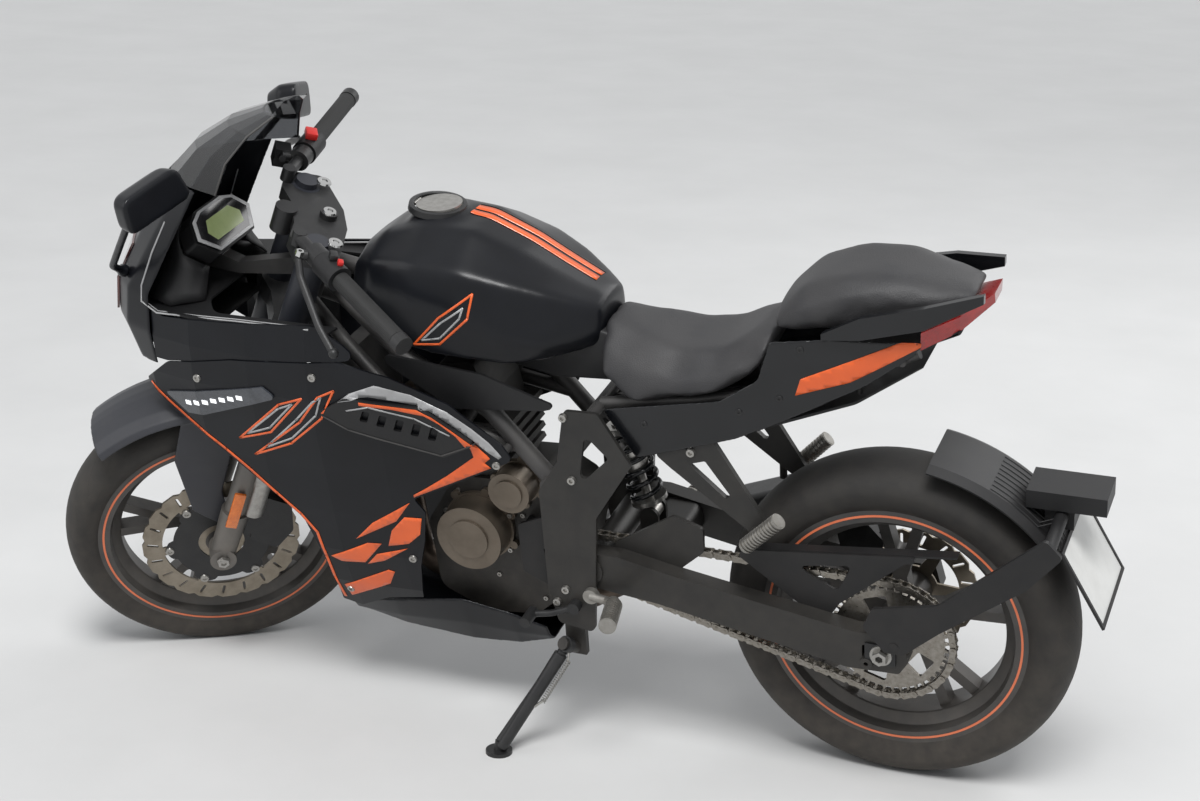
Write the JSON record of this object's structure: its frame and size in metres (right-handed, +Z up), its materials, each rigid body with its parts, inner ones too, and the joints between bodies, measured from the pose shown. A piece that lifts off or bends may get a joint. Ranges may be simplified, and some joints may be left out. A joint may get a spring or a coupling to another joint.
{
  "type": "sport motorcycle",
  "caption": "Small fully faired sport motorcycle on its side stand, with turning wheels, bars that swing lock to lock, a folding stand and an opening filler lid",
  "frame": {"origin": "middle of the footprint of the whole bike, on the floor", "axes": "+X to the front, +Y to the rider's left, +Z up"},
  "size_m": [1.9672, 0.7014, 1.1366],
  "materials": {
    "body_black": "satin black paint",
    "caliper_black": "satin",
    "cap_metal": "satin",
    "chain_steel": "oiled steel",
    "disc_steel": "worn brake ring",
    "engine_black": "satin",
    "engine_bronze": "satin bronze",
    "engine_metal": "cast",
    "exhaust_steel": "heat stained",
    "fork_black": "satin",
    "fork_metal": "cast and machined",
    "frame_paint": "satin grey",
    "gloss_black": "gloss",
    "grip_rubber": "patterned",
    "lamp_clear": "clear lens",
    "lamp_red": "clear red",
    "lever_black": "satin",
    "mirror_shell": "satin",
    "muffler_grey": "satin",
    "peg_metal": "ribbed",
    "plate_white": "satin",
    "radiator_metal": "finned",
    "screen_smoke": "smoked",
    "seat_cover": "grained vinyl",
    "spring_steel": "gloss",
    "stand_paint": "worn paint",
    "swingarm_paint": "satin",
    "switch_plastic": "moulded",
    "trim_plastic": "grained",
    "tyre": "dusty rubber",
    "wheel_paint": "satin cast alloy"
  },
  "bodies": {
    "chassis": {"chain": "chain_steel", "frame": "frame_paint", "subframe": "frame_paint", "engine": "engine_metal", "engine_covers": "engine_bronze", "clutch_cover": "engine_bronze", "sprocket_cover": "engine_black", "radiator": "radiator_metal", "exhaust_pipe": "exhaust_steel", "muffler": "muffler_grey", "swingarm": "swingarm_paint", "chain_guard": "trim_plastic", "shock_damper": "fork_metal", "shock_spring": "spring_steel", "rear_caliper": "caliper_black", "rider_pegs": "peg_metal", "foot_levers": "lever_black", "passenger_pegs": "swingarm_paint", "fuel_tank": "body_black", "rider_seat": "seat_cover", "passenger_seat": "seat_cover", "tail_panels": "body_black", "tail_light": "lamp_red", "grab_rails": "gloss_black", "under_tray": "trim_plastic", "plate_hanger": "trim_plastic", "number_plate": "plate_white", "fairing_left": "body_black", "fairing_right": "body_black", "side_vents": "trim_plastic", "running_lamps": "lamp_clear", "belly_pan": "trim_plastic", "nose_cowl": "body_black", "upper_panels": "body_black", "windscreen": "screen_smoke", "cockpit_panel": "trim_plastic", "instrument": "switch_plastic", "headlights": "lamp_clear", "mirrors": "mirror_shell", "side_covers": "trim_plastic", "heel_plates": "swingarm_paint"},
    "steering": {"fork_clamps": "fork_black", "fork_tubes": "fork_black", "fork_sliders": "fork_metal", "handlebars": "fork_black", "grips": "grip_rubber", "switch_boxes": "switch_plastic", "levers": "lever_black", "mudguard": "trim_plastic", "front_caliper": "caliper_black"},
    "front_wheel": {"front_rim": "wheel_paint", "front_tyre": "tyre", "front_disc": "disc_steel"},
    "rear_wheel": {"rear_rim": "wheel_paint", "rear_tyre": "tyre", "rear_disc": "disc_steel", "rear_sprocket": "chain_steel"},
    "filler": {"filler_cap": "cap_metal"},
    "stand": {"side_stand": "stand_paint"}
  },
  "joints": [
    {"name": "steering_turn", "type": "hinge", "parent": "chassis", "child": "steering", "pos_m": [0.46795, -0.01128, 0.80582], "axis": [-0.3956, 0.1591, 0.9045], "range_deg": [-69.2, 0]},
    {"name": "front_wheel_spin", "type": "hinge", "parent": "steering", "child": "front_wheel", "pos_m": [0.72658, -0.08736, 0.27373], "axis": [-0.5223, 0.7712, -0.3641], "continuous": true},
    {"name": "rear_wheel_spin", "type": "hinge", "parent": "chassis", "child": "rear_wheel", "pos_m": [-0.62836, -0.10084, 0.30363], "axis": [-0.0009, 0.9848, -0.1736], "continuous": true},
    {"name": "stand_fold", "type": "hinge", "parent": "chassis", "child": "stand", "pos_m": [-0.0599, 0.04174, 0.19937], "axis": [0.298, 0.8405, 0.4525], "range_deg": [0, 112.42]},
    {"name": "filler_open", "type": "hinge", "parent": "chassis", "child": "filler", "pos_m": [0.23613, 0.01794, 0.97275], "axis": [-0.0009, 0.9848, -0.1736], "range_deg": [0, 95]}
  ]
}
